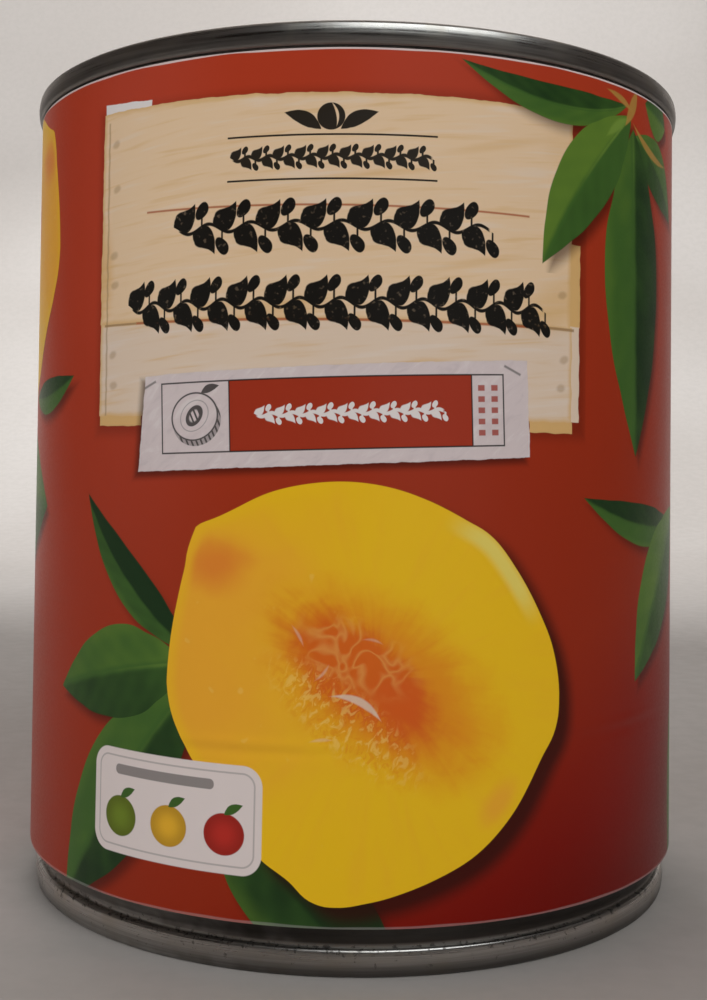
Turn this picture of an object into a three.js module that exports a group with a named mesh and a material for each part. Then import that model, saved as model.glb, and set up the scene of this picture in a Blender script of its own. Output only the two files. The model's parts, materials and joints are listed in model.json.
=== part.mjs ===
// A shut steel food can of the 850 ml size, with a paper sleeve glued round it.
// Millimetres, +Z up. The origin is the middle of the rim it stands on, and the
// middle of the sleeve's picture faces -Y. Every piece is a solid of revolution.
import * as THREE from 'three';

// The whole can
const canHeight = 118;
const wallRadius = 49.5;
const segments = 64;

// Double seams: the rolled rims that join the wall to its two ends
const topSeamRadius = 50.4;
const topSeamHeight = 3.1;
const bottomSeamRadius = 48.9;
const bottomSeamHeight = 3.5;
const seamThickness = 1.35;
const crownRounding = 0.4;
const seamLipRounding = 0.35;

// Necked-in foot, so that the can nests in the rim of the one below
const neckRadius = 47.9;
const neckStart = 4.0;
const neckEnd = 7.2;
const neckSteps = 6;

// Recessed ends, all depths measured inwards from the crown of their seam
const grooveDepth = 4.4;
const grooveWidth = 1.6;
const chuckWallLean = 0.5;
const panelDepth = 3.1;
const panelShoulder = 1.1;
const beadRadii = [18, 28.5, 38.5];
const beadHalfWidth = 2.4;
const beadHeight = 0.6;
const endThickness = 0.8;

// Paper sleeve
const sleeveGap = 0.1;
const paperThickness = 0.2;
const sleeveBottom = 6.4;
const sleeveTop = 114.6;

// Finishes
const tinplate = { color: 0x938b84, roughness: 0.32, metalness: 1 };
const redPaper = { color: 0x963829, roughness: 0.45, metalness: 0 };

// The planes on which the ends meet the body
const lowerPlane = grooveDepth + endThickness;
const upperPlane = canHeight - lowerPlane;

// The wall's outer radius at a height: straight, but drawn in above the lower seam.
function wallRadiusAt(z) {
  const t = THREE.MathUtils.smoothstep(z, neckStart, neckEnd);
  return THREE.MathUtils.lerp(neckRadius, wallRadius, t);
}

// Points up the wall between two heights, close together only along the neck.
function wallPoints(zFrom, zTo) {
  const heights = [zFrom];
  for (let i = 0; i <= neckSteps; i += 1) {
    const z = THREE.MathUtils.lerp(neckStart, neckEnd, i / neckSteps);
    if (z > zFrom && z < zTo) heights.push(z);
  }
  heights.push(zTo);
  return heights.map((z) => [wallRadiusAt(z), z]);
}

// The outside of an end, from the middle of its panel to the lip of its seam, as
// radius and depth below the crown: beads, panel edge, groove, chuck wall, seam.
function endFace(seamRadius, seamHeight) {
  const innerRadius = seamRadius - seamThickness;
  const grooveOuter = innerRadius - chuckWallLean;
  const grooveInner = grooveOuter - grooveWidth;
  const face = [[0, panelDepth]];
  for (const radius of beadRadii) {
    face.push([radius - beadHalfWidth, panelDepth]);
    face.push([radius - beadHalfWidth / 2, panelDepth - beadHeight]);
    face.push([radius + beadHalfWidth / 2, panelDepth - beadHeight]);
    face.push([radius + beadHalfWidth, panelDepth]);
  }
  face.push([grooveInner - panelShoulder, panelDepth]);
  face.push([grooveInner, grooveDepth]);
  face.push([grooveOuter, grooveDepth]);
  face.push([innerRadius, crownRounding]);
  face.push([innerRadius + crownRounding, 0]);
  face.push([seamRadius - crownRounding, 0]);
  face.push([seamRadius, crownRounding]);
  face.push([seamRadius, seamHeight - seamLipRounding]);
  face.push([seamRadius - seamLipRounding, seamHeight]);
  return face;
}

// Turns an outline of [radius, height] points, listed so that the outer side runs
// upwards, round the Z axis.
function turned(name, outline, finish) {
  const points = outline.map(([radius, height]) => new THREE.Vector2(radius, height));
  const geometry = new THREE.LatheGeometry(points, segments);
  geometry.rotateX(Math.PI / 2);
  const mesh = new THREE.Mesh(geometry, new THREE.MeshStandardMaterial(finish));
  mesh.name = name;
  return mesh;
}

// The wall with what it holds, one solid because the can is shut.
function canBody() {
  const outline = [[0, lowerPlane], ...wallPoints(lowerPlane, upperPlane), [0, upperPlane]];
  return turned('can_body', outline, tinplate);
}

// The upper end, with the last of the wall that its seam grips.
function topEnd() {
  const face = endFace(topSeamRadius, topSeamHeight);
  const seam = face.reverse().map(([radius, depth]) => [radius, canHeight - depth]);
  const wall = wallPoints(upperPlane, canHeight - topSeamHeight);
  return turned('top_end', [[0, upperPlane], ...wall, ...seam], tinplate);
}

// The lower end, with the foot of the neck that its seam grips.
function bottomEnd() {
  const face = endFace(bottomSeamRadius, bottomSeamHeight);
  const wall = wallPoints(bottomSeamHeight, lowerPlane);
  return turned('bottom_end', [...face, ...wall, [0, lowerPlane]], tinplate);
}

// The paper sleeve, a thin closed ring that stands just clear of the wall.
function paperSleeve() {
  const inner = wallRadius + sleeveGap;
  const outer = inner + paperThickness;
  const outline = [
    [inner, sleeveBottom],
    [outer, sleeveBottom],
    [outer, sleeveTop],
    [inner, sleeveTop],
    [inner, sleeveBottom],
  ];
  return turned('label', outline, redPaper);
}

const foodCan = new THREE.Group();
foodCan.add(canBody(), topEnd(), bottomEnd(), paperSleeve());

export default foodCan;
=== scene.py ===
import json
import math

import bmesh
import bpy
from mathutils import Matrix, Vector

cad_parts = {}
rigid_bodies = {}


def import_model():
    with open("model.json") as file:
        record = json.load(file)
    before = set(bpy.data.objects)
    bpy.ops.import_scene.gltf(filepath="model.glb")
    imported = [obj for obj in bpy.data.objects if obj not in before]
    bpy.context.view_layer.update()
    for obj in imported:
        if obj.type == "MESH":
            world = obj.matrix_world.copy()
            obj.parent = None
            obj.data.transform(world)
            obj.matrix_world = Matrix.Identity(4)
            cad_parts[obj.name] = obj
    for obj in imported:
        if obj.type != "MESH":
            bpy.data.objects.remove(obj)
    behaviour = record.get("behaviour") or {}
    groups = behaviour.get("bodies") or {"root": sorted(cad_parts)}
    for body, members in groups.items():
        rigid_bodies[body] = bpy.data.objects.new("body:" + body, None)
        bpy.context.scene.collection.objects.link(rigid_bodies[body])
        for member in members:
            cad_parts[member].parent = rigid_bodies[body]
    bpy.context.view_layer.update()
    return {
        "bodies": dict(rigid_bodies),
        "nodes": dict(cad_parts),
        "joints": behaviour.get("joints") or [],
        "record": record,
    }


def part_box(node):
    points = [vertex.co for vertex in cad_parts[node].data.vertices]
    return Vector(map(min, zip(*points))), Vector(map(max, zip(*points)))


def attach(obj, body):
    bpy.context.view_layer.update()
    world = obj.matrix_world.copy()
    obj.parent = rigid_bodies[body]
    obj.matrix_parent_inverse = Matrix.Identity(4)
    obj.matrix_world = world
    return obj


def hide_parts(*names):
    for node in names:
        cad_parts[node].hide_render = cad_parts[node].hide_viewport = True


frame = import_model()
bpy.ops.object.select_all(action="DESELECT")
print("frame loaded")

mm = 0.001
fullTurn = 2 * math.pi
smoothAngle = math.radians(35)

# the can's main sizes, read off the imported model
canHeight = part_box("top_end")[1].z
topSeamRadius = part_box("top_end")[1].x
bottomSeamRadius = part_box("bottom_end")[1].x
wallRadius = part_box("can_body")[1].x
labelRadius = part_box("label")[1].x
labelLow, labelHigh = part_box("label")[0].z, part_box("label")[1].z
bodyLow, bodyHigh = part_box("can_body")[0].z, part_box("can_body")[1].z

cameraSetup = {
    "place": (0.0016, -0.2054, 0.0631),
    "turn": 0.91,
    "tilt": 1.50,
    "roll": 0.66,
    "lens": 45.62,
    "shift": (0.0103, -0.0702),
}


def deselect():
    bpy.ops.object.select_all(action="DESELECT")


def setMode(mode):
    bpy.ops.object.mode_set(mode=mode)


def selectAll():
    bpy.ops.mesh.select_all(action="SELECT")


def addCamera():
    bpy.ops.object.camera_add(location=cameraSetup["place"])
    camera = bpy.context.object
    camera.name = "camera"
    aim = Matrix.Rotation(math.radians(cameraSetup["turn"]), 3, "Z")
    aim = aim @ Matrix.Rotation(math.radians(90 + cameraSetup["tilt"]), 3, "X")
    aim = aim @ Matrix.Rotation(math.radians(cameraSetup["roll"]), 3, "Z")
    camera.rotation_euler = aim.to_euler()
    camera.data.lens = cameraSetup["lens"]
    camera.data.shift_x, camera.data.shift_y = cameraSetup["shift"]
    camera.data.clip_start = 0.01
    bpy.context.scene.camera = camera


# sums with shader nodes: a Wire is a socket that adds and multiplies like a number, and
# the bench holds the node tree at work and the spans of the field that is printed
bench = {}


class Wire:
    def __init__(self, socket):
        self.socket = socket

    def __add__(self, other):
        return calc("ADD", self, other)

    def __sub__(self, other):
        return calc("SUBTRACT", self, other)

    def __rsub__(self, other):
        return calc("SUBTRACT", other, self)

    def __mul__(self, other):
        return calc("MULTIPLY", self, other)

    def __abs__(self):
        return calc("ABSOLUTE", self)


def plug(socket, value):
    # a number, a vector, a colour, the name of a paint, or a Wire to link
    if isinstance(value, str):
        value = paint[value]
    if isinstance(value, Wire):
        bench["tree"].links.new(value.socket, socket)
    elif socket.type == "RGBA":
        socket.default_value = (*value, 1)
    else:
        socket.default_value = value


def addNode(kind, **settings):
    node = bench["tree"].nodes.new("ShaderNode" + kind)
    for name, value in settings.items():
        setattr(node, name, value)
    return node


def calc(operation, *values):
    node = addNode("Math", operation=operation)
    for socket, value in zip(node.inputs, values):
        plug(socket, value)
    return Wire(node.outputs[0])


def vectorCalc(operation, *values):
    node = addNode("VectorMath", operation=operation)
    for socket, value in zip(node.inputs, values):
        plug(socket, value)
    return Wire(node.outputs["Value" if operation == "LENGTH" else "Vector"])


def scaled(vector, amount):
    return vectorCalc("MULTIPLY", vector, (amount, amount, amount))


def join(x, y, z=0.0):
    node = addNode("CombineXYZ")
    for socket, value in zip(node.inputs, (x, y, z)):
        plug(socket, value)
    return Wire(node.outputs[0])


def split(vector):
    node = addNode("SeparateXYZ")
    plug(node.inputs[0], vector)
    return [Wire(output) for output in node.outputs]


def fade(value, start, end, low=0.0, high=1.0):
    # low at start, high at end, a smooth step between them, and held outside them
    node = addNode("MapRange", interpolation_type="SMOOTHSTEP", clamp=False)
    names = ("Value", "From Min", "From Max", "To Min", "To Max")
    for name, number in zip(names, (value, start, end, low, high)):
        plug(node.inputs[name], number)
    return Wire(node.outputs[0])


def between(value, low, high, soft=0.06):
    # 1 from low to high
    middle, half = (low + high) / 2, (high - low) / 2
    return fade(abs(value - middle), half + soft, half - soft)


def either(*masks):
    whole = masks[0]
    for mask in masks[1:]:
        whole = calc("MAXIMUM", whole, mask)
    return whole


def blend(amount, under, over):
    node = addNode("Mix", data_type="RGBA")
    plug(node.inputs[0], amount)
    plug(node.inputs[6], under)
    plug(node.inputs[7], over)
    return Wire(node.outputs[2])


def blendVector(amount, under, over):
    node = addNode("Mix", data_type="VECTOR")
    plug(node.inputs[0], amount)
    plug(node.inputs[4], under)
    plug(node.inputs[5], over)
    return Wire(node.outputs[1])


def placed(vector, centre, turn=0.0, size=(1.0, 1.0)):
    # the vector as seen from a place, turned by degrees and measured in sizes
    node = addNode("Mapping", vector_type="TEXTURE")
    plug(node.inputs["Vector"], vector)
    node.inputs["Location"].default_value = (*centre, 0)
    node.inputs["Rotation"].default_value = (0, 0, math.radians(turn))
    node.inputs["Scale"].default_value = (*size, 1)
    return Wire(node.outputs[0])


def mottle(vector, scale, detail=2.0, rough=0.5, warp=0.0, output="Fac"):
    # soft noise, about 0.5 on average
    node = addNode("TexNoise")
    plug(node.inputs["Vector"], vector)
    names = ("Scale", "Detail", "Roughness", "Distortion")
    for name, number in zip(names, (scale, detail, rough, warp)):
        node.inputs[name].default_value = number
    return Wire(node.outputs[output])


def ruffled(vector, scale, amount):
    # the same place, but pushed about by noise
    parts = addNode("SeparateColor")
    plug(parts.inputs[0], mottle(vector, scale, output="Color"))
    push = join(Wire(parts.outputs[0]) - 0.5, Wire(parts.outputs[1]) - 0.5)
    return vectorCalc("MULTIPLY_ADD", push, (amount, amount, 0), vector)


def curveOf(value, points, sharp=()):
    # a drawn curve through the points, for values from 0 to 1
    node = addNode("FloatCurve")
    plug(node.inputs["Value"], value)
    curve = node.mapping.curves[0]
    curve.points[0].location = points[0]
    curve.points[1].location = points[-1]
    for point in points[1:-1]:
        added = curve.points.new(*point)
        added.handle_type = "VECTOR" if point in sharp else "AUTO"
    node.mapping.update()
    return Wire(node.outputs[0])


def rampOf(value, stops):
    node = addNode("ValToRGB")
    plug(node.inputs[0], value)
    ramp = node.color_ramp
    while len(ramp.elements) < len(stops):
        ramp.elements.new(0.5)
    for element, (place, colour) in zip(ramp.elements, stops):
        element.position = place
        element.color = (*colour, 1)
    return Wire(node.outputs[0])


def startMaterial(name):
    material = bpy.data.materials.new(name)
    material.use_nodes = True
    bench["tree"] = material.node_tree
    return material, material.node_tree.nodes["Principled BSDF"]


def objectPlace():
    return Wire(addNode("TexCoord").outputs["Object"])


def addBump(shader, height, strength, distance):
    bump = addNode("Bump")
    bump.inputs["Strength"].default_value = strength
    bump.inputs["Distance"].default_value = distance
    plug(bump.inputs["Height"], height)
    plug(shader.inputs["Normal"], Wire(bump.outputs[0]))


# the label's print; places are in mm, u round the wall from the front and z up
paint = {
    "redStops": (
        (-14, (0.145, 0.0035, 0.0010)),
        (-3, (0.195, 0.0050, 0.0015)),
        (7, (0.230, 0.0095, 0.0025)),
        (20, (0.295, 0.0230, 0.0060)),
        (62, (0.360, 0.0330, 0.0100)),
        (110, (0.460, 0.0460, 0.0170)),
    ),
    "redLean": 0.6,
    "shadow": (0.030, 0.005, 0.003),
    "paperWhite": (0.80, 0.71, 0.68),
    "bareShade": (0.66, 0.58, 0.54),
    "cream": (0.82, 0.570, 0.362),
    "paleCream": (0.77, 0.58, 0.44),
    "golden": (0.71, 0.42, 0.165),
    "plankLine": (0.40, 0.08, 0.02),
    "woodDark": (0.34, 0.19, 0.08),
    "ink": (0.012, 0.010, 0.008),
    "strip": (0.69, 0.565, 0.553),
    "stripShade": (0.57, 0.46, 0.46),
    "stripRed": (0.37, 0.036, 0.014),
    "leafLight": (0.125, 0.215, 0.028),
    "leafMid": (0.052, 0.120, 0.022),
    "leafDark": (0.012, 0.034, 0.010),
    "leafRib": (0.20, 0.31, 0.05),
    "stem": (0.44, 0.23, 0.05),
    "yellow": (0.88, 0.505, 0.012),
    "tan": (0.88, 0.385, 0.030),
    "blush": (0.78, 0.20, 0.028),
    "halo": (0.80, 0.27, 0.012),
    "heart": (0.70, 0.105, 0.012),
    "fibre": (0.93, 0.63, 0.17),
    "rim": (0.82, 0.65, 0.15),
    "badge": (0.77, 0.645, 0.61),
    "grey": (0.20, 0.17, 0.16),
}


def flatPlace():
    # where a point lies on the label when it is rolled out flat, in mm
    x, y, z = split(objectPlace())
    around = calc("ARCTAN2", x, y * -1)
    return join(around * (labelRadius / mm), z * (1 / mm)), x * (1 / mm)


def after(flat, colour):
    # the same place, but worked out only once the colour below is: without this the
    # renderer works out every layer's masks first, and runs out of room for them
    tiny = 1e-9
    return vectorCalc("MULTIPLY_ADD", colour, (tiny, tiny, tiny), flat)


def shows(centre, size, spare=1.5):
    # whether anything of this size round this centre can lie in the field at work
    reach = zip(centre, size, bench["field"])
    return all(low - spare < at + wide / 2 and at - wide / 2 < high + spare
               for at, wide, (low, high) in reach)


def leafShows(root, tip, halfWidth, bow, *rest):
    middle = (Vector(root) + Vector(tip)) / 2
    margin = 2 * (halfWidth + abs(bow) + 1)
    return shows(middle, [abs(a - b) + margin for a, b in zip(root, tip)])


def blockEdge(flat, centre, size, turn=0.0):
    # distance from a block's outline, negative inside
    local = vectorCalc("ABSOLUTE", placed(flat, centre, turn))
    x, y, _ = split(vectorCalc("SUBTRACT", local, (size[0] / 2, size[1] / 2, 0)))
    return calc("MAXIMUM", x, y)


def roundBlockEdge(flat, centre, size, rounding, turn=0.0):
    local = vectorCalc("ABSOLUTE", placed(flat, centre, turn))
    inset = (size[0] / 2 - rounding, size[1] / 2 - rounding, 100)
    corner = vectorCalc("MAXIMUM", vectorCalc("SUBTRACT", local, inset), (0, 0, 0))
    return vectorCalc("LENGTH", corner) - rounding


def spotEdge(flat, centre, size, turn=0.0):
    # 0 in the middle of an ellipse and 1 on its outline
    return vectorCalc("LENGTH", placed(flat, centre, turn, size))


def inside(distance, soft=0.06):
    return fade(distance, soft, -soft)


def block(flat, centre, size, turn=0.0, soft=0.06):
    return inside(blockEdge(flat, centre, size, turn), soft)


def spot(flat, centre, size, turn=0.0, start=1.03, end=0.97):
    return fade(spotEdge(flat, centre, size, turn), start, end)


def redGround(flat, x):
    # bright above, deep towards the lower right
    stops = paint["redStops"]
    first, last = stops[0][0], stops[-1][0]
    z = split(flat)[1]
    slope = z - x * paint["redLean"] + (mottle(flat, 0.03, 1.0) - 0.5) * 14
    places = [((place - first) / (last - first), colour) for place, colour in stops]
    return rampOf((slope - first) * (1 / (last - first)), places)


leafOutline = (
    (0, 0.05), (0.07, 0.34), (0.2, 0.70), (0.42, 1.0), (0.62, 0.88), (0.82, 0.50), (0.95, 0.15), (1, 0),
)
# root, tip, half width, bow to the left of root-to-tip, lighter side (1 left, -1
# right) and tone of each leaf
leaves = {
    "farLeft": (
        ((-62, 72.2), (-43.5, 74.8), 2.6, -1.2, -1, 0.40),
        ((-84, 60), (-53, 56.5), 10.5, -0.4, 1, 0.56),
    ),
    "upperRight": (
        ((56, 112), (47.2, 113.8), 3.4, 0.0, 1, 0.62),
        ((44.2, 108.5), (60, 98.9), 4.0, 1.0, 1, 0.50),
        ((43.6, 109), (44.7, 64.2), 7.7, 0.3, -1, 0.36),
        ((41.8, 112.2), (13.3, 114.0), 2.5, 3.2, 1, 0.44),
        ((42.8, 110.8), (25.3, 88.8), 5.0, -1.6, -1, 0.68),
    ),
    "lowerRight": (
        ((60, 55), (32.6, 59), 3.0, 1.9, 1, 0.36),
        ((64, 57), (44.8, 33.6), 6.4, -1.6, -1, 0.56),
        ((70, 34), (62, 4), 6.0, 1.0, -1, 0.46),
    ),
    "lowerLeft": (
        ((-20, 39.0), (-39.3, 58.8), 3.0, 1.6, 1, 0.12),
        ((-20.5, 34.5), (-43.7, 3.2), 7.2, -0.8, -1, 0.38),
        ((-21, 37.6), (-45.6, 32.0), 6.1, -0.6, -1, 0.48),
    ),
    "underFruit": (((-18, 23.5), (8.5, -4.5), 7.0, 0.0, -1, -0.02),),
    "back": (
        ((-105, 78), (-123, 56), 5.4, -1.5, -1, 0.56),
        ((-105, 81), (-127, 86), 4.5, 1.5, 1, 0.46),
        ((150, 100), (136, 76), 5.4, -1.4, -1, 0.60),
        ((150, 103), (128, 109), 3.2, 1.6, 1, 0.40),
        ((-128, 24), (-106, 11), 4.6, 1.2, -1, 0.48),
    ),
}


def leafField(flat, root, tip, halfWidth, bow, move=(0, 0)):
    # how far along the leaf, how far across in half widths, room left to its edge
    along = Vector(tip) - Vector(root)
    turn = math.degrees(math.atan2(along.y, along.x))
    start = Vector(root) + Vector(move)
    t, y, _ = split(placed(flat, start, turn, (along.length, halfWidth)))
    across = y - t * (1 - t) * (4 * bow / halfWidth)
    return t, across, curveOf(t, leafOutline) - abs(across)


def leafMask(flat, root, tip, halfWidth, bow=0.0, soft=0.1):
    return fade(leafField(flat, root, tip, halfWidth, bow)[2], 0, soft / halfWidth)


# a leaf's shadow: its move, where it starts outside its edge, is full inside, and depth
leafShade = {"move": (1.0, -1.2), "outer": -0.9, "inner": 1.5, "depth": 0.7}


def leafShadows(flat, chosen, colour):
    shade, dark = leafShade, None
    for root, tip, halfWidth, bow, *_ in chosen:
        room = leafField(flat, root, tip, halfWidth, bow, shade["move"])[2]
        mask = fade(room, shade["outer"] / halfWidth, shade["inner"] / halfWidth)
        dark = mask if dark is None else either(dark, mask)
    return blend(dark * shade["depth"], colour, "shadow")


def paintLeaves(flat, chosen, colour):
    # every leaf leaves its own coordinates behind, then one recipe colours them all
    carried, cover = (0.0, 0.0, 0.0), None
    for root, tip, halfWidth, bow, side, tone in chosen:
        t, across, room = leafField(flat, root, tip, halfWidth, bow)
        mask = fade(room, 0.0, 0.16 / halfWidth)
        carried = blendVector(mask, carried, join(t, across * side, tone))
        cover = mask if cover is None else either(cover, mask)
    t, s, tone = split(carried)
    across = abs(s)
    lighter = fade(s, -0.12, 0.16)
    veins = calc("SINE", t * 46 - across * 10) * 0.02
    cloud = mottle(flat, 0.14, 2.0, 0.55) * 0.40 - 0.48
    tone = tone + lighter * 0.48 + veins + cloud + fade(t, 0.4, 0.0) * 0.12
    green = blend(fade(tone, 0.0, 0.5), "leafDark", "leafMid")
    green = blend(fade(tone, 0.5, 1.05), green, "leafLight")
    green = blend(fade(across, 0.6, 1.0) * lighter * 0.35, green, "leafLight")
    rib = fade(across, 0.06, 0.01) * fade(t, 0.7, 0.1) * fade(tone, 0.2, 0.8)
    green = blend(rib * 0.55, green, "leafRib")
    return blend(cover, colour, green)


twigs = (
    ((44.6, 115), (41.2, 109.2), 1.0, 0.3),
    ((43.6, 111.5), (36.5, 113.6), 0.6, -0.4),
    ((43.2, 110.4), (57, 106.6), 0.7, -1.6),
)
twigSheen = ((42.2, 110.6), (36.6, 106.9), 0.9, -0.2)


def paintTwigs(flat, colour):
    for twig in twigs:
        colour = blend(leafMask(flat, *twig, 0.3) * 0.9, colour, "stem")
    sheen = leafMask(flat, *twigSheen, 0.5)
    return blend(sheen * 0.7, colour, "leafRib")


boardPlan = {
    "shadow": ((-2.3, 88.0), (69.5, 42.0)),
    "batten": ((-35.65, 88.5), (0.32, 39)),
    "parting": (80.9, 80.6),
    "edges": (
        ((-32.2, 108.3), (8.8, 4.0), -4, "paperWhite"),
        ((29.6, 86.4), (4.4, 10.8), 0, "golden"),
        ((30.4, 74.9), (2.6, 12.4), 0, "paleCream"),
        ((27.0, 68.0), (7.0, 1.5), -1, "golden"),
        ((-32.8, 68.5), (8.0, 1.7), 0, "golden"),
    ),
    "planks": (
        ((-3.35, 94.9), (67.1, 28.2), -0.55),
        ((-3.3, 74.95), (67.3, 12.3), -0.3),
    ),
    "lines": (
        ((26, 80.7), (9.5, 0.36), -1, "woodDark"),
        ((-33.0, 80.95), (6.2, 0.30), 0, "woodDark"),
        ((-2.5, 95.0), (51.6, 0.26), -0.65, "plankLine"),
        ((-3.4, 80.8), (53.0, 0.34), -0.35, "plankLine"),
    ),
    "nails": (
        (-34.3, 105), (-34.0, 99), (-34.4, 90.2), (-34.1, 86.3), (-34.3, 77),
        (-34.2, 73), (28.7, 85), (29.0, 76.7), (28.5, 73),
    ),
    "streaks": (
        ((19, 103.4), (22, 0.9), 12, 0.42),
        ((4, 99.0), (26, 0.7), 5, 0.22),
        ((15.5, 88.3), (19, 0.8), 11, 0.40),
        ((-16, 97.6), (22, 0.6), 3, 0.22),
        ((-20, 82.6), (20, 1.0), 2, 0.40),
        ((27.5, 83.5), (18, 4.5), 30, 0.50),
        ((-36, 88), (4.4, 8), 0, 0.65),
        ((-9, 82.3), (18, 1.8), 5, 0.45),
        ((29, 104), (10, 3.5), 0, 0.30),
    ),
}


def paintBoard(flat, colour):
    plan = boardPlan
    z = split(flat)[1]
    ragged = ruffled(flat, 0.42, 0.5)
    shade = fade(blockEdge(flat, *plan["shadow"]), 1.6, -0.8)
    colour = blend(shade * 0.36, colour, "shadow")
    for centre, size, turn, name in plan["edges"]:
        if shows(centre, size):
            colour = blend(block(ragged, centre, size, turn), colour, name)
    wood = blend(fade(z, *plan["parting"]), "cream", "paleCream")
    grainPlace = placed(flat, (0, 90), 5, (15, 1.1))
    grain = mottle(grainPlace, 1.0, 2.0, 0.6, 0.3)
    wood = blend(fade(grain, 0.52, 0.78) * 0.55, wood, "golden")
    wood = blend(fade(grain, 0.46, 0.30) * 0.22, wood, "paperWhite")
    for centre, size, turn, amount in plan["streaks"]:
        if shows(centre, (size[0], size[1] + 4)):
            streak = fade(spotEdge(flat, centre, (size[0] / 2, size[1]), turn), 1.0, 0.2)
            wood = blend(streak * amount, wood, "golden")
    for place in plan["nails"]:
        if shows(place, (1, 1)):
            nail = spot(ragged, place, (0.75, 0.5), 15, 1.4, 0.5)
            wood = blend(nail * 0.42, wood, "woodDark")
    planks = [blockEdge(ragged, *plank) for plank in plan["planks"] if shows(*plank[:2])]
    room = planks[0] if len(planks) == 1 else calc("MINIMUM", *planks)
    wood = blend(fade(room, -0.8, 0.0) * 0.75, wood, "golden")
    batten = block(ragged, *plan["batten"], 0, 0.12)
    wood = blend(batten * 0.55, wood, "woodDark")
    colour = blend(inside(room), colour, wood)
    for centre, size, turn, name in plan["lines"]:
        if shows(centre, size):
            line = block(flat, centre, size, turn, 0.09)
            colour = blend(line * 0.82, colour, name)
    return colour


# shares of a vine's height (wave, half), of its period (those across) or of its half
vineShape = {
    "wave": 0.07,
    "half": 0.46,
    "rootAcross": -0.40,
    "tipAcross": 0.16,
    "bow": -0.10,
    "berryAcross": 0.33,
    "berryUp": 0.56,
}


def vine(flat, centre, span, period, height, leafWide, berry):
    # leaves and berries by turns above and below one waving stem
    shape = vineShape
    x, y, _ = split(placed(flat, centre))
    wave = calc("SINE", x * (fullTurn / period)) * (shape["wave"] * height)
    above = calc("SIGN", y - wave)
    shifted = x + above * (period / 4)
    cell = calc("WRAP", shifted, period / 2, -period / 2)
    high = abs(y - wave)
    here = join(cell, high)
    half = shape["half"] * height
    root, tip = (shape["rootAcross"] * period, 0), (shape["tipAcross"] * period, half)
    leaf = leafMask(here, root, tip, leafWide, shape["bow"] * half, 0.14)
    aside = shape["berryAcross"] * period
    dot = spot(here, (aside, shape["berryUp"] * half), (berry, berry * 1.08), 0, 1.06, 0.94)
    stalk = between(cell, aside - 0.13, aside + 0.13) * fade(high, 0.6 * half, 0.5 * half)
    stem = fade(high, 0.30, 0.16) * between(x, -span / 2, span / 2, 0.2)
    # only whole leaves at both ends
    return either(either(leaf, dot, stalk) * between(shifted, -span / 2, span / 2), stem)


# the centre, span, period and height of each vine, and its leaves' and berries' widths
titleRows = (
    ((-2.75, 92.5), 40.5, 5.786, 8.0, 1.30, 0.95),
    ((-2.6, 82.9), 56.1, 5.1, 8.4, 1.26, 0.86),
)


def paintRows(flat, colour):
    worn = fade(mottle(flat, 1.6, 1.0), 0.22, 0.40, 0.86, 1.0)
    for row in titleRows:
        centre, span, _, height = row[:4]
        if shows(centre, (span, height), 0):
            colour = blend(vine(flat, *row) * worn, colour, "ink")
    return colour


sprigPlan = {
    "middle": (-2.8, 101.0),
    "fruit": ((-2.8, 106.0), (1.75, 1.7)),
    "crease": ((-2.8, 107.8), (-2.2, 104.5), 0.22, 0.5),
    "leaf": ((1.2, 104.4), (6.0, 106.6), 0.95, 0.4),
    "vine": (25.2, 2.8, 3.7, 0.62, 0.42),
    "ruleAway": 2.75,
    "ruleHalf": 13.4,
}


def paintSprig(flat, colour):
    # a small fruit between two leaves, over a low vine between two rules
    plan = sprigPlan
    u, z, _ = split(flat)
    fruit = spot(flat, *plan["fruit"])
    crease = leafMask(flat, *plan["crease"], 0.1)
    mirrored = join(abs(u - plan["middle"][0]), z)
    leaf = leafMask(mirrored, *plan["leaf"], 0.12)
    low = vine(flat, plan["middle"], *plan["vine"])
    rules = abs(abs(z - plan["middle"][1]) - plan["ruleAway"])
    across = abs(u - plan["middle"][0])
    rules = fade(rules, 0.16, 0.08) * fade(across, plan["ruleHalf"], plan["ruleHalf"] - 0.1)
    drawn = either(fruit * (1 - crease), leaf, low, rules)
    return blend(drawn * 0.98, colour, "ink")


stripPlan = {
    "centre": (-2.9, 69.0),
    "turn": 2.65,
    "left": 25.75,
    "lean": 0.13,
    "half": (26.3, 6.15),
    "shadowMove": (-0.5, -0.6, 0),
    "shadowHalf": (26.0, 6.1),
    "frame": ((0.15, 0.22), (45.0, 8.9), -0.75),
    "dividers": (-12.65, 18.15),
    "staples": (((-24.4, 4.9), (2.5, 0.3), 22), ((24.1, 4.9), (2.6, 0.3), -27)),
    "vine": ((2.7, 0), 23.4, 2.6, 3.0, 0.48, 0.38),
    "dashMiddle": 20.35,
    "dashAside": (0.45, 1.35),
    "dashStep": 1.4,
    "dashReach": 3.5,
}
# a halved fruit in ink: middles, sizes and turns of its ellipses, and its leaf
drawnFruit = {
    "cut": ((-17.6, 0.1), (3.4, 3.0), 15),
    "side": ((-17.3, -0.5), (3.5, 3.1), 15),
    "stone": ((-17.6, 0.2), (1.5, 1.05), 50),
    "hollow": ((-17.6, 0.2), (2.25, 1.8), 40),
    "leaf": ((-16.6, 3.0), (-13.9, 3.9), 0.55, 0.2),
}


def stripEdge(place, right, half):
    # distance from the strip's outline, whose left end leans
    x, y, _ = split(place)
    left = (x - y * stripPlan["lean"]) * -1 - stripPlan["left"]
    return either(left, x - right, abs(y) - half)


def dashColumns(x, y):
    plan = stripPlan
    step = plan["dashStep"]
    dashes = fade(abs(calc("WRAP", y, step / 2, -step / 2)), 0.42, 0.30)
    aside = abs(x - plan["dashMiddle"])
    columns = dashes * between(aside, *plan["dashAside"], 0.07)
    return columns * fade(abs(y), plan["dashReach"], plan["dashReach"] - 0.1)


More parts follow.
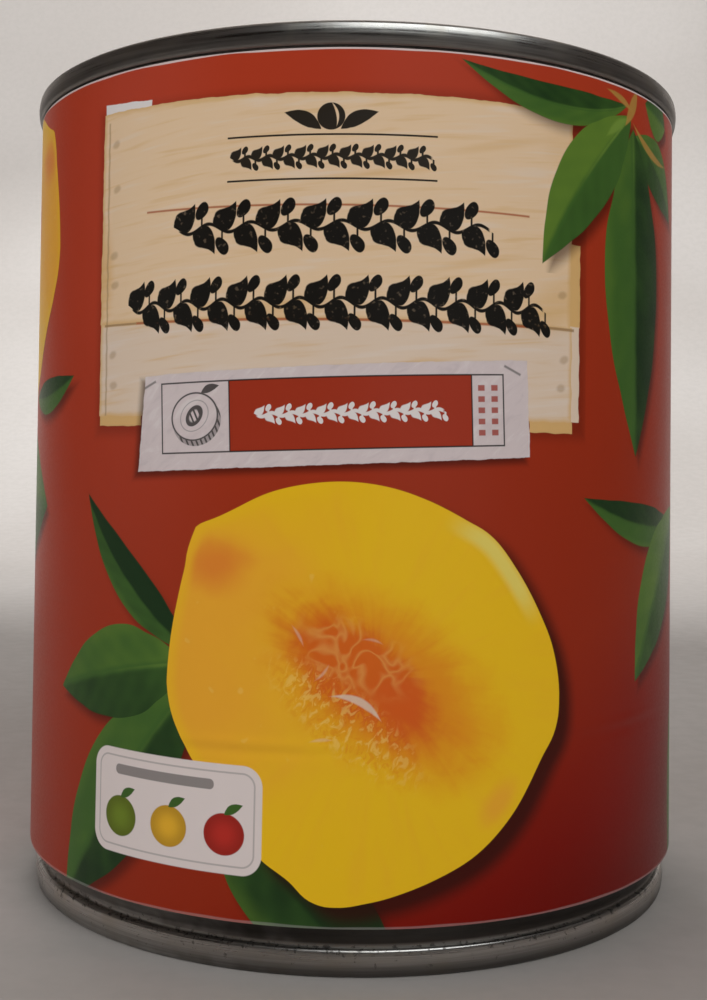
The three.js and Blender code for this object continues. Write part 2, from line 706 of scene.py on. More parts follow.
def drawFruit(place, x, y, paper):
    plan = drawnFruit
    reach = spotEdge(place, *plan["cut"])
    ringed = between(reach, 0.95, 1.02, 0.02)
    side = spotEdge(place, *plan["side"])
    hatch = fade(calc("SINE", x * 9 + y * 4), 0.1, 0.4)
    rind = fade(side, 1.02, 0.98) * fade(reach, 0.98, 1.02) * either(hatch, 0.5)
    stoneEdge = spotEdge(place, *plan["stone"])
    stone = fade(stoneEdge, 1.04, 0.96) * either(hatch, fade(stoneEdge, 0.45, 0.7))
    hollow = between(spotEdge(place, *plan["hollow"]), 0.95, 1.0, 0.04) * 0.6
    sprout = leafMask(place, *plan["leaf"], 0.1)
    drawn = either(ringed, rind, stone, hollow, sprout)
    return blend(drawn * 0.88, paper, "ink")


def paintStrip(flat, colour):
    plan = stripPlan
    local = placed(flat, plan["centre"], plan["turn"])
    edge = stripEdge(ruffled(local, 0.7, 0.35), *plan["half"])
    lowEdge = stripEdge(vectorCalc("SUBTRACT", local, plan["shadowMove"]), *plan["shadowHalf"])
    colour = blend(fade(lowEdge, 0.9, -0.5) * 0.72, colour, "shadow")
    folds = mottle(placed(local, (0, 0), 35, (3.5, 1.2)), 0.9, 3.0, 0.6, 0.8)
    paper = blend(fade(folds, 0.5, 0.72) * 0.45, "strip", "stripShade")
    paper = blend(fade(folds, 0.46, 0.3) * 0.4, paper, "paperWhite")
    for staple in plan["staples"]:
        paper = blend(block(local, *staple, 0.09) * 0.85, paper, "grey")
    inner = placed(local, plan["frame"][0], plan["frame"][2])
    frame = blockEdge(inner, (0, 0), plan["frame"][1])
    x, y, _ = split(inner)
    middle = between(x, *plan["dividers"], 0.04)
    # white vine on the red middle, dashes on the right and the drawn fruit on the left
    red = blend(vine(inner, *plan["vine"]), "stripRed", "paperWhite")
    paper = blend(dashColumns(x, y) * 0.85, paper, "stripRed")
    paper = drawFruit(inner, x, y, paper)
    paper = blend(middle * inside(frame), paper, red)
    rules = either(*(fade(abs(x - at), 0.13, 0.05) for at in plan["dividers"]))
    rules = either(rules * inside(frame), fade(abs(frame), 0.14, 0.06))
    paper = blend(rules * 0.9, paper, "ink")
    return blend(inside(edge), colour, paper)


fruitPlan = {
    "centre": (2, 35),
    "reach": 40,
    "outline": (
        (-23.9, 35), (-23.2, 42), (-21.6, 49), (-21.0, 52), (-19.8, 55),
        (-15, 57), (-9.8, 59.4), (-5, 60.5), (0, 60.8), (6, 59.9),
        (10, 58.5), (14.5, 56.3), (18, 54.3), (22, 49.7), (25, 45),
        (27.5, 39.8), (28.6, 33), (28.3, 30.4), (25.2, 25), (21.3, 19.2),
        (17, 15.2), (10, 11.7), (3, 9.6), (-1, 9.0), (-3.2, 9.2),
        (-7.5, 12.3), (-10.4, 14.2), (-16, 21), (-21, 27.3), (-23.2, 31.5),
    ),
    "corner": 4,
    "shadowMove": (1.9, -1.7, 0),
    "raysFrom": (3.5, 37, 0),
    "blush": ((-17.2, 50.2), (6, 4.2), 10),
    "tail": ((19.5, 21), (4, 2.2), 50),
    "second": ((-70.0, 62.6), 0, (-0.87, 0.87)),
}
# the hollow's ellipses: middle, size and turn
hollowPlan = {
    "halo": ((4.8, 35.8), (17.5, 9.8), -37),
    "heart": ((1.7, 37.0), (12.6, 5.5), -38),
    "ember": ((6.4, 33.9), (5.6, 3.6), -38),
    "threads": ((1.0, 39.5), (9, 4.6), -25),
    "shreds": ((-0.2, 31.4), (12.5, 4.2), -38),
    "strands": (
        ((4.3, 31.4), (-2.6, 34.5), 0.62, -1.2, 0.80),
        ((-2.2, 38.6), (-4.4, 36.2), 0.30, 0.3, 0.42),
        ((-5.4, 40.4), (-7.2, 43.4), 0.32, -0.2, 0.42),
        ((4.5, 40.8), (1.4, 41.4), 0.30, -0.4, 0.35),
        ((-1.5, 29.2), (-5.0, 28.8), 0.34, -0.2, 0.32),
    ),
}


def outlineCurve(part):
    # the outline's radius against the turn round its centre, closed at half a turn
    plan, points = fruitPlan, []
    for point in plan["outline"]:
        away = Vector(point) - Vector(plan["centre"])
        place = (math.atan2(away.y, away.x) / fullTurn + 0.5) % 1
        points.append((place, away.length / plan["reach"]))
    corner = points[plan["corner"]]
    points.sort()
    (firstPlace, firstReach), (lastPlace, lastReach) = points[0], points[-1]
    share = firstPlace / (firstPlace + 1 - lastPlace)
    ends = firstReach + (lastReach - firstReach) * share
    inner = [point for point in points if 0.002 < point[0] < 0.998]
    points = [(0, ends), *inner, (1, ends)]
    return curveOf(part, points, (corner,))


def fruitEdge(flat):
    # distance from the fruit's outline, negative inside, and the share of a turn
    plan = fruitPlan
    x, y, _ = split(vectorCalc("SUBTRACT", flat, (*plan["centre"], 0)))
    part = calc("ARCTAN2", y, x) * (1 / fullTurn) + 0.5
    reach = vectorCalc("LENGTH", join(x, y))
    return reach - outlineCurve(part) * plan["reach"], part


def paintHollow(flat, u, rays, flesh):
    # an orange halo round a red heart
    plan = hollowPlan
    wobble = (mottle(flat, 0.22, 3.0, 0.6, 0.5) - 0.5) * 0.55 + (rays - 0.5) * 0.45
    halo = spotEdge(flat, *plan["halo"]) + wobble * 0.8
    flesh = blend(fade(halo, 1.18, 0.50) * 0.97, flesh, "halo")
    heart = spotEdge(flat, *plan["heart"]) + wobble
    flesh = blend(fade(heart, 1.18, 0.60) * 0.85, flesh, "heart")
    ember = fade(spotEdge(flat, *plan["ember"]) + wobble, 1.1, 0.3)
    flesh = blend(ember * 0.8, flesh, "heart")
    # pale threads in the hollow, and torn fibres along its lower left side
    swirl = mottle(flat, 0.30, 1.0, 0.5, 0.8)
    near = fade(spotEdge(flat, *plan["threads"]), 1.1, 0.5)
    flesh = blend(between(swirl, 0.47, 0.55, 0.07) * near * 0.30, flesh, "fibre")
    band = fade(spotEdge(flat, *plan["shreds"]), 1.15, 0.55)
    shreds = mottle(placed(flat, (0, 0), 60, (1.35, 0.85)), 0.9, 2.0, 0.6, 0.9)
    flesh = blend(fade(shreds, 0.50, 0.64) * band * 0.42, flesh, "fibre")
    flesh = blend(fade(shreds, 0.46, 0.34) * band * 0.55, flesh, "halo")
    for *strand, amount in plan["strands"]:
        if leafShows(*strand):
            mask = leafMask(flat, *strand, 0.3)
            flesh = blend(mask * amount, flesh, "paleCream")
    specks = fade(mottle(flat, 0.5, 1.0), 0.70, 0.78) * fade(u, 4, -6)
    return blend(specks * 0.25, flesh, "fibre")


def paintFruit(flat, colour, hollow=False):
    plan = fruitPlan
    lowEdge = fruitEdge(vectorCalc("SUBTRACT", flat, plan["shadowMove"]))[0]
    colour = blend(fade(lowEdge, 1.5, -1.2) * 0.88, colour, "shadow")
    edge, part = fruitEdge(flat)
    u, z, _ = split(flat)
    cloud = mottle(flat, 0.09, 3.0, 0.6, 0.4)
    outward = vectorCalc("NORMALIZE", vectorCalc("SUBTRACT", flat, plan["raysFrom"]))
    rays = mottle(vectorCalc("ADD", scaled(outward, 5.5), scaled(flat, 0.05)), 1.2, 3.0, 0.6, 0.3)
    # tan on the left, yellow on the right
    left = fade(u + (cloud - 0.5) * 16, 6, -17) * fade(abs(z - 40), 24, 8)
    flesh = blend(left * 0.95, "yellow", "tan")
    flesh = blend(fade(rays, 0.42, 0.75) * 0.22, flesh, "tan")
    blush = fade(spotEdge(flat, *plan["blush"]) + (cloud - 0.5), 1.1, 0.1)
    flesh = blend(blush * 0.8, flesh, "blush")
    tail = fade(spotEdge(flat, *plan["tail"]), 1.2, 0.2)
    flesh = blend(tail * 0.85, flesh, "tan")
    if hollow:
        flesh = paintHollow(flat, u, rays, flesh)
    # a wet gleam at the upper right rim and a yellow rim all round
    rimmed = fade(edge, -2.0, -0.3)
    flesh = blend(rimmed * 0.55, flesh, "yellow")
    gleam = between(edge, -2.1, -0.1, 0.7) * between(part, 0.570, 0.662, 0.022)
    flesh = blend(gleam * 0.85, flesh, "rim")
    return blend(inside(edge), colour, flesh)


badgePlan = {
    "centre": (-23.4, 18.9),
    "size": (26.0, 13.5),
    "rounding": 2.6,
    "turn": -0.4,
    "bar": ((-1.2, 4.1), (15.5, 1.3), 0.6),
    "fruitUp": -1.9,
    "fruitSize": (2.75, 2.6),
    "fruits": ((-8.0, (0.16, 0.22, 0.02)), (0.0, (0.80, 0.42, 0.03)), (8.0, (0.50, 0.03, 0.02))),
}


def paintBadge(flat, colour):
    plan = badgePlan
    local = placed(flat, plan["centre"], plan["turn"])
    edge = roundBlockEdge(local, (0, 0), plan["size"], plan["rounding"])
    card = "badge"
    frame = fade(abs(edge + 1.0), 0.16, 0.06)
    bar = inside(roundBlockEdge(local, *plan["bar"]))
    card = blend(frame * 0.45, card, "grey")
    card = blend(bar * 0.85, card, "grey")
    for x, fruitColour in plan["fruits"]:
        disc = spotEdge(local, (x, plan["fruitUp"]), plan["fruitSize"])
        tinted = blend(fade(disc, 0.1, 1.0) * 0.35, fruitColour, "shadow")
        card = blend(fade(disc, 1.03, 0.97), card, tinted)
        leaf = leafMask(local, (x, 0.5), (x + 2.6, 1.9), 0.62, 0.15, 0.12)
        card = blend(leaf, card, "leafMid")
    return blend(inside(edge, 0.08), colour, card)


panelPlan = {
    "centre": (108, 60),
    "size": (44, 74),
    "rounding": 3,
    "barStep": 4.4,
    "barEnds": (-18.2, 8.2),
    "barsUp": -6,
    "barsHalf": 26.1,
    "leaves": (((-1, 27), (-11, 31), 2.2, 0.8), ((1, 27), (11, 31), 2.2, -0.8)),
}


def paintPanel(flat, colour):
    # a plain pale panel with grey bars, on the side that faces away
    plan = panelPlan
    local = placed(flat, plan["centre"])
    edge = roundBlockEdge(local, (0, 0), plan["size"], plan["rounding"])
    grain = mottle(placed(flat, (0, 0), 3, (14, 1.2)), 0.9, 3.0, 0.6)
    card = blend(fade(grain, 0.5, 0.75) * 0.35, "paleCream", "golden")
    x, y, _ = split(local)
    step, (left, right) = plan["barStep"], plan["barEnds"]
    bars = fade(abs(calc("WRAP", y, step / 2, -step / 2)), 0.55, 0.42)
    lengths = mottle(join(0.0, calc("ROUND", y * (1 / step)), 3.0), 3.7, 0.0)
    bars = bars * fade(x, left, left + 0.2) * fade(x - lengths * 14, right, right - 0.2)
    away = abs(y - plan["barsUp"])
    bars = bars * fade(away, plan["barsHalf"], plan["barsHalf"] - 0.1)
    card = blend(bars * 0.7, card, "grey")
    rule = fade(abs(edge + 1.4), 0.2, 0.1)
    card = blend(rule * 0.6, card, "plankLine")
    leaf = either(*(leafMask(local, *one, 0.2) for one in plan["leaves"]))
    card = blend(leaf, card, "leafMid")
    shade = fade(edge, 1.4, -0.6)
    return blend(inside(edge), blend(shade * 0.6, colour, "shadow"), card)


# how far the unprinted margins reach in from the sheet's ends, from print to bare, in mm
margins = {"upper": (0.28, 0.16), "lower": (0.34, 0.22)}


def finishPaper(shader, flat, colour):
    # unprinted cut margin at both ends, satin print, and the paper's own fibres
    z = split(flat)[1]
    cut = z - (mottle(flat, 0.09, 1.0) - 0.5) * 0.5
    upper = fade(cut, *(labelHigh / mm - reach for reach in margins["upper"]))
    lower = fade(cut, *(labelLow / mm + reach for reach in margins["lower"]))
    colour = blend(either(upper * 0.8, lower * 0.15), colour, "paperWhite")
    plug(shader.inputs["Base Color"], colour)
    # read from the plain place, as a bump works out all that its height rests on thrice
    fibres = mottle(objectPlace(), 2.6 / mm, 2.0, 0.65)
    plug(shader.inputs["Roughness"], fade(fibres, 0.3, 0.7, 0.30, 0.38))
    shader.inputs["Specular IOR Level"].default_value = 0.18
    addBump(shader, fibres, 0.10, 0.00005)


# the print is split into fields, so that each one only works out what shows on it;
# each has its span of u and of z in mm and its layers from the lowest up
fields = {
    "leftMargin": ((-47.8, -39.5), (60, 120), ("farLeft",)),
    "crest": ((-39.5, 12), (87.8, 120), ("board", "rows", "sprig")),
    "crestRight": ((12, 33), (87.8, 120), ("board", "rows", "upperRight")),
    "title": ((-39.5, 33), (78, 87.8), ("board", "rows")),
    "strip": ((-39.5, 33), (60, 78), ("board", "strip")),
    "twigSide": ((33, 75), (98, 120), ("upperRight", "twigs")),
    "longLeaf": ((33, 75), (60, 98), ("upperRight",)),
    "fruitTop": ((-25, 32.2), (50, 60), ("fruit",)),
    "fruitLeft": ((-25, -8), (26.5, 50), ("lowerLeft", "hollowFruit")),
    "fruitMiddle": ((-8, 32.2), (26.5, 50), ("hollowFruit",)),
    "badgeRight": ((-25, -8), (0, 26.5), ("lowerLeft", "underFruit", "fruit", "badge")),
    "fruitFoot": ((-8, 32.2), (0, 26.5), ("underFruit", "hollowFruit")),
    "lowerLeft": ((-47.8, -25), (26.5, 60), ("lowerLeft",)),
    "badgeLeft": ((-47.8, -25), (0, 26.5), ("lowerLeft", "badge")),
    "lowerRight": ((32.2, 77), (0, 60), ("lowerRight",)),
    "leftSide": ((-99, -47.8), (0, 120), ("farLeft", "secondFruit")),
    "back": ((-400, 400), (0, 120), ("panel", "back")),
}
# right of this u the fruit reaches a little higher than the parting at 60 mm
raised = {"from": -12, "low": 60.0, "high": 61.1}
rowLines = (26.5, 50.0, 60.0, 61.1, 78.0, 87.8, 98.0)


def layer(name, flat, colour):
    if name in leaves:
        chosen = [leaf for leaf in leaves[name] if leafShows(*leaf)]
        if not chosen:
            return colour
        colour = leafShadows(flat, chosen, colour)
        return paintLeaves(after(flat, colour), chosen, colour)
    if name == "secondFruit":
        # the same fruit again, mirrored, a little smaller and drawn whole
        bench["field"] = ((-90, 90), (-90, 90))
        return paintFruit(placed(flat, *fruitPlan["second"]), colour, True)
    if name == "hollowFruit":
        return paintFruit(flat, colour, True)
    painter = {
        "board": paintBoard,
        "rows": paintRows,
        "sprig": paintSprig,
        "twigs": paintTwigs,
        "strip": paintStrip,
        "fruit": paintFruit,
        "badge": paintBadge,
        "panel": paintPanel,
    }[name]
    return painter(flat, colour)


def printField(name):
    material, shader = startMaterial("print" + name[0].upper() + name[1:])
    flat, x = flatPlace()
    colour = redGround(flat, x)
    bench["field"] = fields[name][:2]
    for part in fields[name][2]:
        colour = layer(part, after(flat, colour), colour)
    finishPaper(shader, after(flat, colour), colour)
    print(material.name, len(material.node_tree.nodes), "nodes")
    return material


def fieldAt(u, z):
    if u > raised["from"] and raised["low"] < z < raised["high"]:
        z = raised["low"] - 0.1
    for number, (across, up, _) in enumerate(fields.values()):
        if across[0] < u < across[1] and up[0] < z < up[1]:
            return number


def barePaper():
    material, shader = startMaterial("barePaper")
    place = scaled(objectPlace(), 1 / mm)
    fibres = mottle(place, 1.8, 4.0, 0.65)
    colour = blend(fade(fibres, 0.3, 0.7), "paperWhite", "bareShade")
    plug(shader.inputs["Base Color"], colour)
    plug(shader.inputs["Roughness"], fade(fibres, 0.3, 0.7, 0.7, 0.85))
    addBump(shader, fibres, 0.2, 0.00008)
    return material


sheet = {
    "overlap": 12 * mm,
    "thickness": 0.13 * mm,
    "columns": 300,
    "coarse": 1.5 * mm,
    "fine": 0.3 * mm,
    "creaseHeight": 28.0 * mm,
    "creaseReach": 2.4 * mm,
    "creaseDepth": 0.13 * mm,
    "creaseSlope": 0.012,
    "climb": 3 * mm,
    "gap": 0.02 * mm,
    "curlReach": 4 * mm,
    "curl": 0.12 * mm,
    "ripple": 0.02 * mm,
    "rippleReach": 3 * mm,
}
# the crease's three stretches: place and reach round the wall in mm, share of its depth
creases = ((-13, 11, 1.0), (43, 9, 0.75), (-110, 20, 0.5))


def rowHeights():
    # close together only at the crease, and with a row on each parting of the print
    crease, reach = sheet["creaseHeight"], sheet["creaseReach"]
    stops = [labelLow, crease - reach, crease + reach, labelHigh]
    stops = sorted(stops + [line * mm for line in rowLines])
    heights = []
    for low, high in zip(stops, stops[1:]):
        creased = abs((low + high) / 2 - crease) < reach
        count = max(1, round((high - low) / sheet["fine" if creased else "coarse"]))
        heights += [low + (high - low) * k / count for k in range(count)]
    return heights + [labelHigh]


# the parts of the sheet on its map: left, low, width and height, and the front's span
sheetMap = {
    "front": (0.005, 0.40, 0.99, 0.59),
    "left": (0.02, 0.02, 0.24, 0.33),
    "right": (0.28, 0.02, 0.21, 0.33),
    "hidden": (0.52, 0.02, 0.44, 0.30),
    "edge": (0.52, 0.34, 0.44, 20),
}
frontSpan = (-90 * mm, 90 * mm)
leftLength, rightLength, mappedLength = 0.08, 0.07, 0.36


def mapPlace(face, place):
    # front strip wide across the top of the map, the rest below it, hidden faces small
    start, end = frontSpan
    up = (place.z - labelLow) / (labelHigh - labelLow)
    across = place.x / mappedLength + 0.5
    if face.normal.y > 0.5:
        part = "hidden"
    elif face.normal.y > -0.5:
        part, up = "edge", place.y
    elif start < face.center.x < end:
        part, across = "front", (place.x - start) / (end - start)
    elif face.center.x < start:
        part, across = "left", (start - place.x) / leftLength
    else:
        part, across = "right", (place.x - end) / rightLength
    left, low, width, height = sheetMap[part]
    return left + width * across, low + height * up


def mapSheet(piece):
    bakeMap = piece.data.uv_layers.new(name="OFBake")
    for face in piece.data.polygons:
        for corner in face.loop_indices:
            place = piece.data.vertices[piece.data.loops[corner].vertex_index].co
            bakeMap.data[corner].uv = mapPlace(face, place)


def creaseShift(u, z):
    # the paper's one soft horizontal crease, deepest at the left and dying away
    span = (z - sheet["creaseHeight"] - sheet["creaseSlope"] * u) / mm
    wave = math.sin(span * 1.9) * math.exp(-(span / 1.25) ** 2)
    strength = sum(share * math.exp(-((u / mm - at) / reach) ** 2) for at, reach, share in creases)
    return sheet["creaseDepth"] * wave * strength


def ease(t):
    # from 0 to 1, level at both ends and held outside them
    t = min(max(t, 0), 1)
    return t * t * (3 - 2 * t)


def rollSheet(piece):
    # its right end climbs onto its left end at the back, and curls up a little
    half = math.pi * labelRadius
    start = half - sheet["overlap"] - sheet["climb"]
    for v in piece.data.vertices:
        u, depth, z = v.co
        lift = (sheet["thickness"] + sheet["gap"]) * ease((u - start) / sheet["climb"])
        t = max((u - half) / sheet["curlReach"] + 1, 0)
        lift += sheet["curl"] * t * t * (0.5 + 0.5 * math.sin(z * 90))
        ripple = sheet["ripple"] * math.sin(u * 210 + z * 35) * math.sin(u * 97)
        edgeNear = max(0, 1 - min(z - labelLow, labelHigh - z) / sheet["rippleReach"])
        radius = labelRadius + lift + ripple * edgeNear + creaseShift(u, z) - depth
        angle = u / labelRadius
        v.co = (radius * math.sin(angle), -radius * math.cos(angle), z)


def addLabel():
    length = fullTurn * labelRadius + sheet["overlap"]
    heights = rowHeights()
    deselect()
    bpy.ops.mesh.primitive_grid_add(
        x_subdivisions=sheet["columns"],
        y_subdivisions=len(heights) - 1,
        size=1,
        rotation=(math.pi / 2, 0, 0),
    )
    piece = bpy.context.object
    piece.name = "paperLabel"
    bpy.ops.object.transform_apply(location=True, rotation=True, scale=True)
    setMode("EDIT")
    selectAll()
    bpy.ops.transform.resize(value=(length, 1, 1))
    setMode("OBJECT")
    rows = len(heights) - 1
    for v in piece.data.vertices:
        row = round((v.co.z + 0.5) * rows)
        v.co = (v.co.x - sheet["overlap"] / 2, 0, heights[row])
    solid = piece.modifiers.new("paper", "SOLIDIFY")
    solid.thickness, solid.offset = sheet["thickness"], -1
    bpy.ops.object.modifier_apply(modifier="paper")
    for name in fields:
        piece.data.materials.append(printField(name))
    piece.data.materials.append(barePaper())
    for face in piece.data.polygons:
        printed = face.normal.y < -0.5
        middle = face.center / mm
        face.material_index = fieldAt(middle.x, middle.z) if printed else len(fields)
    mapSheet(piece)
    rollSheet(piece)
    bpy.ops.object.shade_smooth_by_angle(angle=smoothAngle)
    return piece


def rounded(corners, steps=5):
    # corners are (radius, height, rounding); a rounding of 0 keeps the corner sharp
    points = []
    for i, (r, z, rounding) in enumerate(corners):
        here = Vector((r, z))
        if rounding == 0 or i in (0, len(corners) - 1):
            points.append(here)
            continue
        back = (Vector(corners[i - 1][:2]) - here).normalized()
        ahead = (Vector(corners[i + 1][:2]) - here).normalized()
        halfAngle = back.angle(ahead) / 2
        reach = rounding / math.tan(halfAngle)
        middle = here + (back + ahead).normalized() * rounding / math.sin(halfAngle)
        start = here + back * reach - middle
        sweep = start.angle_signed(here + ahead * reach - middle)
        for k in range(steps + 1):
            turned = Matrix.Rotation(-sweep * k / steps, 2) @ start
            points.append(middle + turned)
    return points


def turnOutline(name, outline, steps=256):
    # one point is drawn out along the outline and spun round the can's axis
    deselect()
    first = outline[0]
    bpy.ops.mesh.primitive_plane_add(size=mm, location=(first.x, 0, first.y))
    piece = bpy.context.object
    piece.name = name
    setMode("EDIT")
    selectAll()
    bpy.ops.mesh.merge(type="CENTER")
    for here, there in zip(outline, outline[1:]):
        step = there - here
        bpy.ops.mesh.extrude_region_move(TRANSFORM_OT_translate={"value": (step.x, 0, step.y)})
    selectAll()
    bpy.ops.mesh.spin(steps=steps, angle=fullTurn, center=(0, 0, 0), axis=(0, 0, 1))
    selectAll()
    bpy.ops.mesh.remove_doubles(threshold=0.002 * mm)
    bpy.ops.mesh.normals_make_consistent(inside=False)
    setMode("OBJECT")
    bpy.ops.object.transform_apply(location=True, rotation=True, scale=True)
    bpy.ops.object.shade_smooth_by_angle(angle=smoothAngle)
    return piece


endShape = {
    "topSeamHeight": 3.1 * mm,
    "bottomSeamHeight": 3.5 * mm,
    "seamThick": 1.35 * mm,
    "seamBulge": 0.34 * mm,
    "roundness": 4.0 * mm,
    "tuck": 0.26 * mm,
    "crown": 0.62 * mm,
    "lip": 0.5 * mm,
    "lipDepth": 1.2 * mm,
    "grooveDepth": 4.4 * mm,
    "grooveWidth": 1.6 * mm,
    "chuckLean": 0.5 * mm,
    "panelDepth": 3.1 * mm,
    "panelEdge": 1.1 * mm,
    "beads": (18 * mm, 28.5 * mm, 38.5 * mm),
    "beadHalf": 2.4 * mm,
    "beadHeight": 0.6 * mm,
    "beadSteps": 8,
    "panelRounding": 0.5 * mm,
    "grooveRounding": 0.6 * mm,
    "waist": 0.42,
    "swell": 0.03 * mm,
    "lipDrop": 0.02 * mm,
    "wallGap": 0.05 * mm,
}


def endOutline(seamRadius, seamHeight):
    # radius and depth below the crown, from the middle of the panel to the seam's lip
    s = endShape
    inner = seamRadius - s["seamThick"]
    grooveOuter = inner - s["chuckLean"]
    grooveInner = grooveOuter - s["grooveWidth"]
    panelEnd = grooveInner - s["panelEdge"]
    points = [Vector((0, s["panelDepth"]))]
    for bead in s["beads"]:
        for k in range(s["beadSteps"] + 1):
            across = 2 * k / s["beadSteps"] - 1
            rise = s["beadHeight"] * (0.5 + 0.5 * math.cos(math.pi * across))
            points.append(Vector((bead + across * s["beadHalf"], s["panelDepth"] - rise)))
    corners = [
        (panelEnd - 2 * mm, s["panelDepth"], 0),
        (panelEnd, s["panelDepth"], s["panelRounding"]),
        (grooveInner, s["grooveDepth"], s["panelRounding"]),
        (grooveOuter, s["grooveDepth"], s["grooveRounding"]),
        (inner, 0, s["crown"]),
        (seamRadius - s["seamBulge"], 0, s["crown"]),
        (seamRadius + s["swell"], seamHeight * s["waist"], s["roundness"]),
        (seamRadius - s["tuck"], seamHeight, s["lip"]),
        (seamRadius - s["lipDepth"], seamHeight + s["lipDrop"], 0),
    ]
    return points + rounded(corners)


def addTopEnd():
    seamHeight = endShape["topSeamHeight"]
    outline = [Vector((p.x, canHeight - p.y)) for p in endOutline(topSeamRadius, seamHeight)]
    tucked = wallRadius - endShape["wallGap"]
    lower = ((tucked, canHeight - seamHeight), (tucked, bodyHigh), (0, bodyHigh))
    outline += [Vector(point) for point in lower]
    return turnOutline("topEnd", outline[::-1])


neck = {"radius": 47.9 * mm, "start": 4.0 * mm, "end": 7.2 * mm}


def wallRadiusAt(height):
    # straight, but drawn in above the lower seam
    share = ease((height - neck["start"]) / (neck["end"] - neck["start"]))
    return neck["radius"] + (wallRadius - neck["radius"]) * share


def neckPoints(low, high, steps):
    heights = [low + (high - low) * k / steps for k in range(steps + 1)]
    return [Vector((wallRadiusAt(height), height)) for height in heights]


def addBottomEnd():
    seamHeight = endShape["bottomSeamHeight"]
    outline = endOutline(bottomSeamRadius, seamHeight) + neckPoints(seamHeight, bodyLow, 5)
    return turnOutline("bottomEnd", outline + [Vector((0, bodyLow))])


def addBody():
    outline = [Vector((0, bodyLow))] + neckPoints(bodyLow, neck["end"], 8)
    outline += [Vector((wallRadius, bodyHigh)), Vector((0, bodyHigh))]
    return turnOutline("canBody", outline)


tin = {
    "pale": (0.66, 0.63, 0.60),
    "dull": (0.47, 0.445, 0.42),
    # the dark laid on for the painted shade on the neck and seams, and for dirt and specks
    "shadeAndDirtDark": (0.06, 0.052, 0.046),
    "lacquer": (0.60, 0.53, 0.42),
    # heights in mm of the painted shade on the neck, at the foot and on the top seam
    "neckBand": (3.75, 6.6),
    "footFade": (3.0, 0.4),
    "rimFade": (canHeight / mm - 1.2, canHeight / mm - 3.0),
    "rimFoot": (112.6, 113.2),
    # heights over which the dirt and the painted shade near the foot fade in
    "dirtAndShadeFade": (7.5, 4.5),
    "lipBand": (3.1, 4.3),
}


def tinplate():
    material, shader = startMaterial("tinplate")
    place = scaled(objectPlace(), 1 / mm)
    x, y, z = split(place)
    reach = vectorCalc("LENGTH", join(x, y))
    around = calc("ARCTAN2", y, x)
    # fine lines run round the can, as rolling and seaming leave them
    lines = mottle(join(reach * 4.5, z * 4.5, around * 2.5), 1.0, 2.0, 0.7)
    cloud = mottle(place, 0.22, 2.0, 0.6)
    spots = mottle(place, 1.1, 3.0, 0.65)
    colour = blend(fade(lines, 0.3, 0.7), tin["dull"], tin["pale"])
    colour = blend(fade(cloud, 0.45, 0.75) * 0.35, colour, tin["lacquer"])
    # painted shade: the neck is painted dark but for its left side, and both seams are painted darker
    # downwards, standing in for the dark surroundings they mirror
    right = fade(x + (cloud - 0.5) * 30, -38, -6)
    paintedNeckShade = between(z, *tin["neckBand"], 0.35) * (right * 0.68 + 0.28)
    paintedFootShade = fade(z, *tin["footFade"]) * (right * 0.5 + 0.35)
    paintedRimShade = fade(z, *tin["rimFade"]) * fade(z, *tin["rimFoot"])
    # dark spots near the foot, thicker along the seam's lip: partly dirt and partly painted shade at
    # the foot
    dirtAndShade = fade(spots - between(z, *tin["lipBand"], 0.5) * 0.08, 0.40, 0.30)
    dirtAndShade = dirtAndShade * fade(z, *tin["dirtAndShadeFade"])
    # painted shade on the neck and seams, together with the dirt near the foot
    paintedShadeAndDirt = either(paintedNeckShade, paintedFootShade, paintedRimShade * 0.62, dirtAndShade * 0.7)
    specks = fade(spots, 0.74, 0.78) * 0.4
    # painted shade, dirt and specks all darken the tin towards one dark colour
    colour = blend(either(paintedShadeAndDirt, specks), colour, tin["shadeAndDirtDark"])
    plug(shader.inputs["Base Color"], colour)
    shader.inputs["Metallic"].default_value = 1.0
    shine = fade(lines, 0.3, 0.7, 0.24, 0.36) + fade(cloud, 0.4, 0.8) * 0.10 + paintedShadeAndDirt * 0.12
    plug(shader.inputs["Roughness"], shine)
    addBump(shader, lines * 0.6 + cloud * 0.8 + spots * 0.25, 0.25, 0.00006)
    return material


floorPlan = {
    "size": 8,
    "middle": -2.5,
    "rise": 2,
    "bend": 0.9,
    "bendSteps": 24,
    "plain": (0.42, 0.372, 0.345),
    "pale": (0.47, 0.422, 0.395),
    "speck": (0.34, 0.30, 0.278),
}


def paleFloor():
    plan = floorPlan
    material, shader = startMaterial("paleFloor")
    place = objectPlace()
    broad = mottle(place, 3.0, 1.0)
    fine = mottle(place, 160.0, 2.0, 0.7)
    colour = blend(fade(broad, 0.3, 0.7), plan["plain"], plan["pale"])
    colour = blend(fade(fine, 0.35, 0.7) * 0.12, colour, plan["speck"])
    plug(shader.inputs["Base Color"], colour)
    plug(shader.inputs["Roughness"], fade(fine, 0.3, 0.7, 0.7, 0.85))
    addBump(shader, fine, 0.15, 0.0003)
    return material


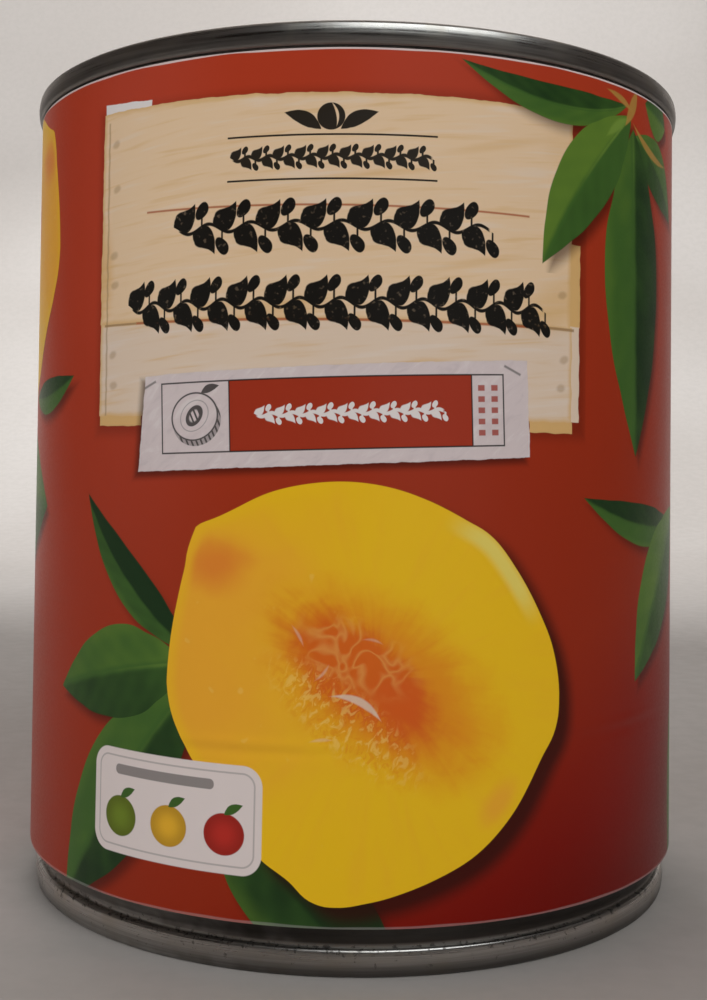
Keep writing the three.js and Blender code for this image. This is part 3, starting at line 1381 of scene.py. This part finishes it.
def addFloor():
    # a sheet that bends up behind the can
    plan = floorPlan
    deselect()
    bpy.ops.mesh.primitive_plane_add(size=plan["size"], location=(0, plan["middle"], 0))
    floor = bpy.context.object
    floor.name = "floor"
    bpy.ops.object.transform_apply(location=True)
    setMode("EDIT")
    bm = bmesh.from_edit_mesh(floor.data)
    for v in bm.verts:
        v.select = v.co.y > plan["middle"]
    bm.select_flush(True)
    bmesh.update_edit_mesh(floor.data)
    bpy.ops.mesh.extrude_region_move(TRANSFORM_OT_translate={"value": (0, 0, plan["rise"])})
    setMode("OBJECT")
    bend = floor.modifiers.new("bend", "BEVEL")
    bend.width, bend.segments = plan["bend"], plan["bendSteps"]
    bend.limit_method = "ANGLE"
    bpy.ops.object.modifier_apply(modifier="bend")
    bpy.ops.object.shade_smooth()
    floor.data.materials.append(paleFloor())


# place, aim, width and depth, power, and whether it may show as a gleam on metal
lamps = {
    "key": ((0.50, -1.00, 0.30), (0, 0, 0.06), (0.9, 0.9), 5.8, False),
    "fill": ((-1.10, -0.32, 0.26), (0, 0, 0.06), (0.9, 0.9), 6.8, False),
    "overhead": ((0.36, -0.78, 0.95), (0, 0, 0.1), (1.0, 0.45), 4.0, True),
    "rear": ((-0.3, 1.0, 0.9), (0, 0, 0.05), (0.8, 0.8), 4.5, False),
    "backdrop": ((0, 0.2, 1.0), (0, 1.5, 1.05), (1.0, 1.0), 26.0, False),
}
lampTint = (0.94, 1.0, 1.02)
# the sky's grey from straight down, at 0, to straight up, at 1
skyStops = ((0.40, (0.03, 0.028, 0.026)), (0.52, (0.125, 0.115, 0.11)), (0.85, (0.28, 0.265, 0.255)))


def addLights():
    world = bpy.data.worlds.new("studio")
    bpy.context.scene.world = world
    world.use_nodes = True
    bench["tree"] = world.node_tree
    up = split(Wire(addNode("TexCoord").outputs["Generated"]))[2]
    sky = rampOf(up * 0.5 + 0.5, skyStops)
    plug(world.node_tree.nodes["Background"].inputs["Color"], sky)
    for name, (place, aim, size, power, gleams) in lamps.items():
        bpy.ops.object.light_add(type="AREA", location=place)
        lamp = bpy.context.object
        lamp.name = name
        lamp.data.shape, lamp.data.color = "RECTANGLE", lampTint
        lamp.data.size, lamp.data.size_y = size
        lamp.data.energy = power
        lamp.visible_glossy = gleams
        lamp.visible_camera = False
        away = Vector(place) - Vector(aim)
        lamp.rotation_euler = away.to_track_quat("Z", "Y").to_euler()


addCamera()
addFloor()
addLights()
print("stage set")
metal = tinplate()
for piece, node in (
    (addTopEnd(), "top_end"),
    (addBottomEnd(), "bottom_end"),
    (addBody(), "can_body"),
    (addLabel(), "label"),
):
    if node != "label":
        piece.data.materials.append(metal)
    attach(piece, "root")
    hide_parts(node)
    print("made", piece.name, len(piece.data.polygons), "faces")

bpy.context.scene.view_settings.view_transform = "Standard"
